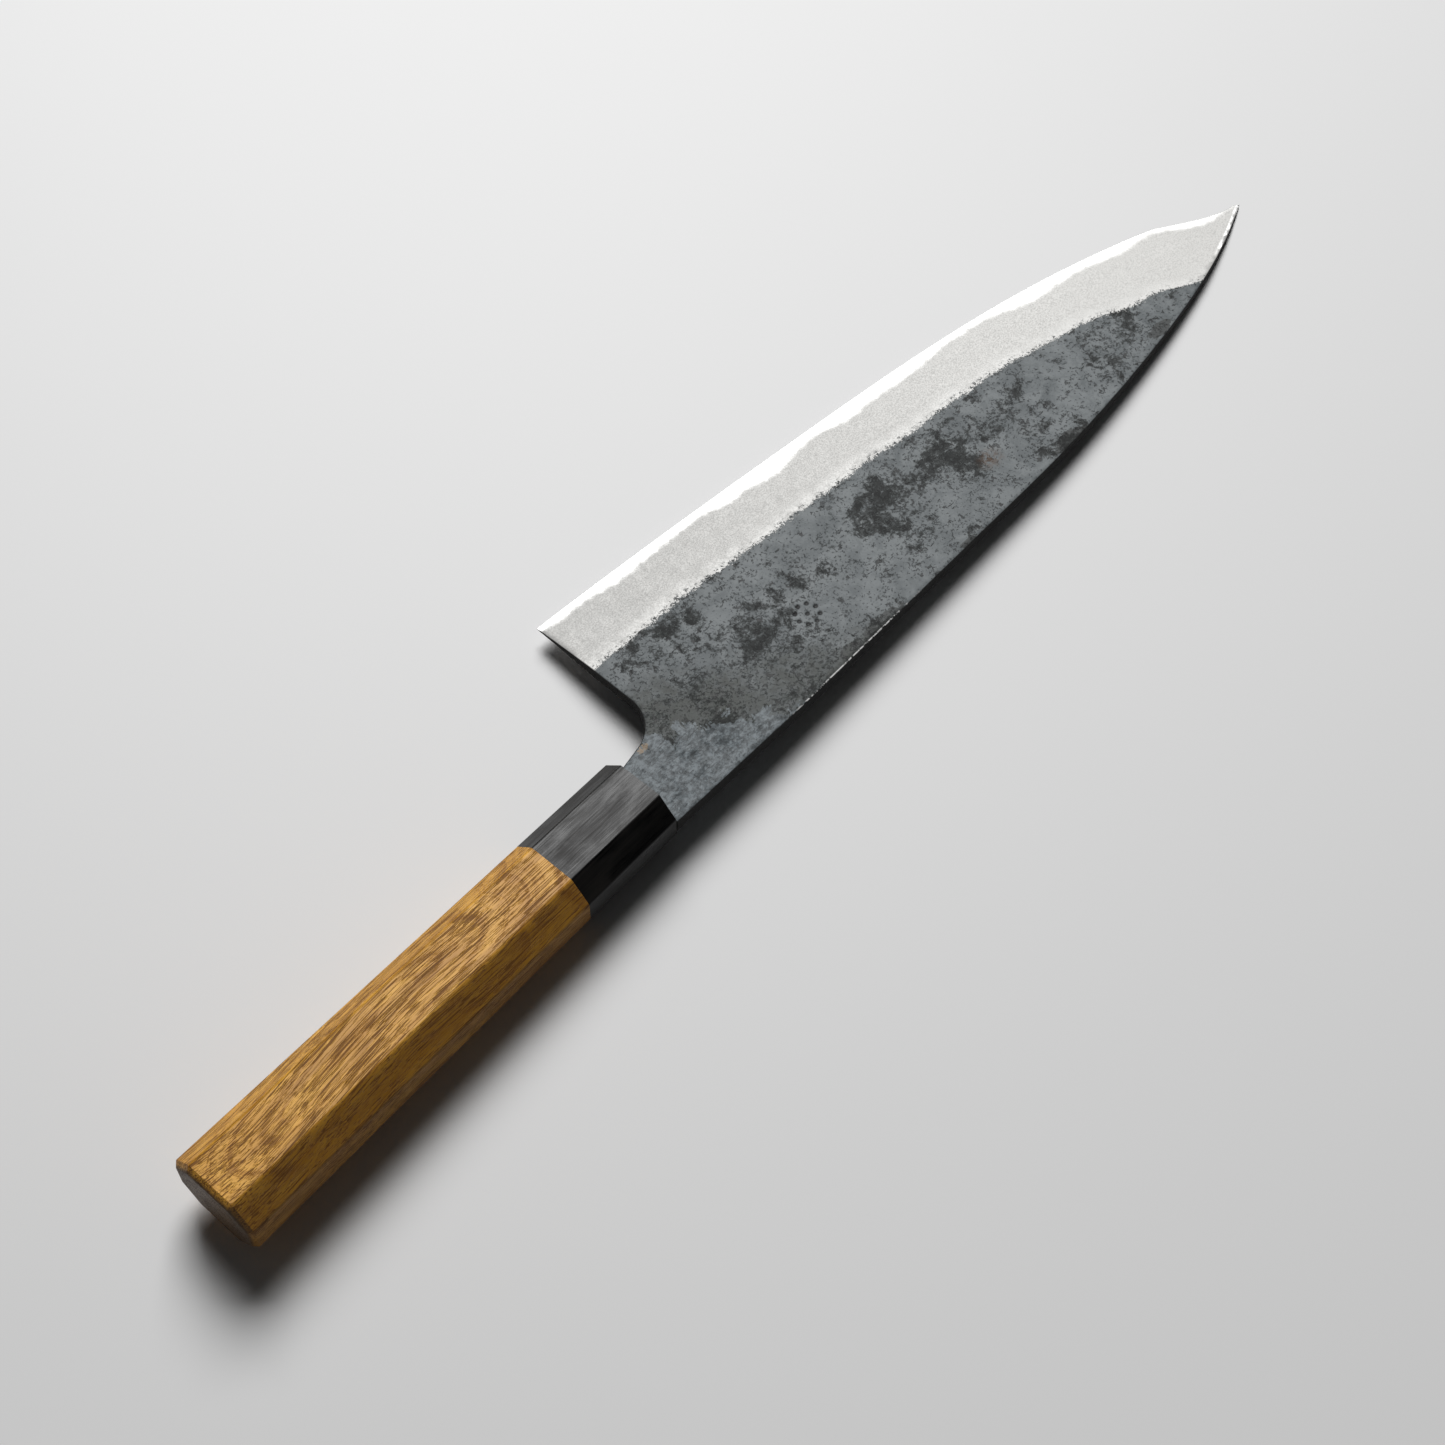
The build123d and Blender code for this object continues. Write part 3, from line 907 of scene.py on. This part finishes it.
def dowel_finish():
    """Plain pale softwood, close-grained, hidden inside the handle."""
    f = Finish("pale_softwood")
    rings = f.noise(1.0, 4, 0.6, 0.2, f.stretched((0.03, 0.9, 0.9)))
    f.set(
        Base_Color=f.blend(f.between(rings, 0.35, 0.65), (0.58, 0.4, 0.2), (0.72, 0.55, 0.33)),
        Roughness=f.between(rings, 0.3, 0.7, 0.55, 0.7),
        Normal=f.bump(rings, 0.04),
    )
    return f.material


def resin_finish():
    """Dull tan resin with a few bubbles, that seals the mouth of the ferrule and beds the tang."""
    f = Finish("tan_resin")
    body = f.noise(0.7, 5, 0.6)
    bubbles = f.between(f.cells(1.6), 0.1, 0.25, 1.0, 0.0)
    f.set(
        Base_Color=f.blend(body, (0.1, 0.065, 0.035), (0.22, 0.15, 0.085)),
        Roughness=f.between(body, 0.3, 0.7, 0.4, 0.6),
        Normal=f.bump(f.math("SUBTRACT", body, bubbles), 0.05),
    )
    return f.material


# ---------------------------------------------------------------- the stage
def studio():
    """A plain pale floor, one large soft light beyond the blade and a dim room."""
    floor_mesh = bpy.data.meshes.new("floor")
    bm = bmesh.new()
    bmesh.ops.create_grid(bm, x_segments=2, y_segments=2, size=4.0)
    bm.to_mesh(floor_mesh)
    bm.free()
    floor = bpy.data.objects.new("floor", floor_mesh)
    bpy.context.scene.collection.objects.link(floor)
    pale = bpy.data.materials.new("pale_floor")
    pale.use_nodes = True
    shader = pale.node_tree.nodes["Principled BSDF"]
    shader.inputs["Base Color"].default_value = (0.77, 0.77, 0.77, 1)
    shader.inputs["Roughness"].default_value = 0.55
    floor_mesh.materials.append(pale)

    world = bpy.data.worlds.new("studio")
    bpy.context.scene.world = world
    world.use_nodes = True
    world.node_tree.nodes["Background"].inputs["Color"].default_value = (1.0, 1.0, 1.0, 1)
    world.node_tree.nodes["Background"].inputs["Strength"].default_value = ROOM_LIGHT
    soft_light()


def soft_light():
    """A square soft light that shines at the knife from beyond the blade."""
    azimuth = math.radians(LIGHT_AZIMUTH)
    elevation = math.radians(LIGHT_ELEVATION)
    direction = Vector((
        math.cos(azimuth) * math.cos(elevation),
        math.sin(azimuth) * math.cos(elevation),
        math.sin(elevation),
    ))
    light = bpy.data.lights.new("softbox", "AREA")
    light.shape = "SQUARE"
    light.size = LIGHT_SIZE
    light.energy = LIGHT_POWER
    lamp = bpy.data.objects.new("softbox", light)
    lamp.location = AIM + direction * LIGHT_DISTANCE
    lamp.rotation_euler = (-direction).to_track_quat("-Z", "Y").to_euler()
    bpy.context.scene.collection.objects.link(lamp)


def camera():
    """The camera looks down on the knife from the butt's side."""
    azimuth, elevation = math.radians(CAMERA_AZIMUTH), math.radians(CAMERA_ELEVATION)
    back = Vector((
        math.sin(azimuth) * math.cos(elevation),
        -math.cos(azimuth) * math.cos(elevation),
        math.sin(elevation),
    ))
    data = bpy.data.cameras.new("camera")
    data.lens = CAMERA_LENS
    data.sensor_width = 36.0
    data.clip_start, data.clip_end = 0.01, 50.0
    eye = bpy.data.objects.new("camera", data)
    eye.location = AIM + back * CAMERA_DISTANCE
    turn = (-back).to_track_quat("-Z", "Y").to_matrix()
    eye.rotation_euler = (turn @ Matrix.Rotation(math.radians(CAMERA_ROLL), 3, "Z")).to_euler()
    bpy.context.scene.collection.objects.link(eye)
    bpy.context.scene.camera = eye


# ---------------------------------------------------------------- the knife
sheet = blade_sheet()
left = cladding(1, "forged_cladding_left", "cladding_left", sheet)
right = cladding(-1, "forged_cladding_right", "cladding_right", sheet)
middle = core(sheet)
sheet.free()
handle_xs = [(to_knife @ vert.co).x for vert in frame["nodes"]["handle_body"].data.vertices]
butt_x = min(handle_xs)
joint_x = max(handle_xs)
wood = octagonal_piece(
    "wood_handle", "handle_body", HANDLE_ARRIS,
    [(butt_x, BUTT_ARRIS), (joint_x, JOINT_ARRIS)],
)
horn = octagonal_piece(
    "horn_ferrule", "ferrule", FERRULE_ARRIS, [(joint_x, JOINT_ARRIS), (0.0, MOUTH_ARRIS)],
)

left_finish = blade_finish("forged_blade_left", 0)
left.data.materials.append(left_finish)
middle.data.materials.append(left_finish)
right.data.materials.append(blade_finish("forged_blade_right", 1))
wood.data.materials.append(wood_finish(butt_x))
horn.data.materials.append(horn_finish())
hidden_finishes = {
    "handle_dowel": dowel_finish(),
    "tang_bed": resin_finish(),
    "mouth_seal": resin_finish(),
}
for node, finish in hidden_finishes.items():
    for place in frame["nodes"][node].material_slots:
        place.material = finish

studio()
camera()
bpy.context.scene.view_settings.view_transform = "Standard"
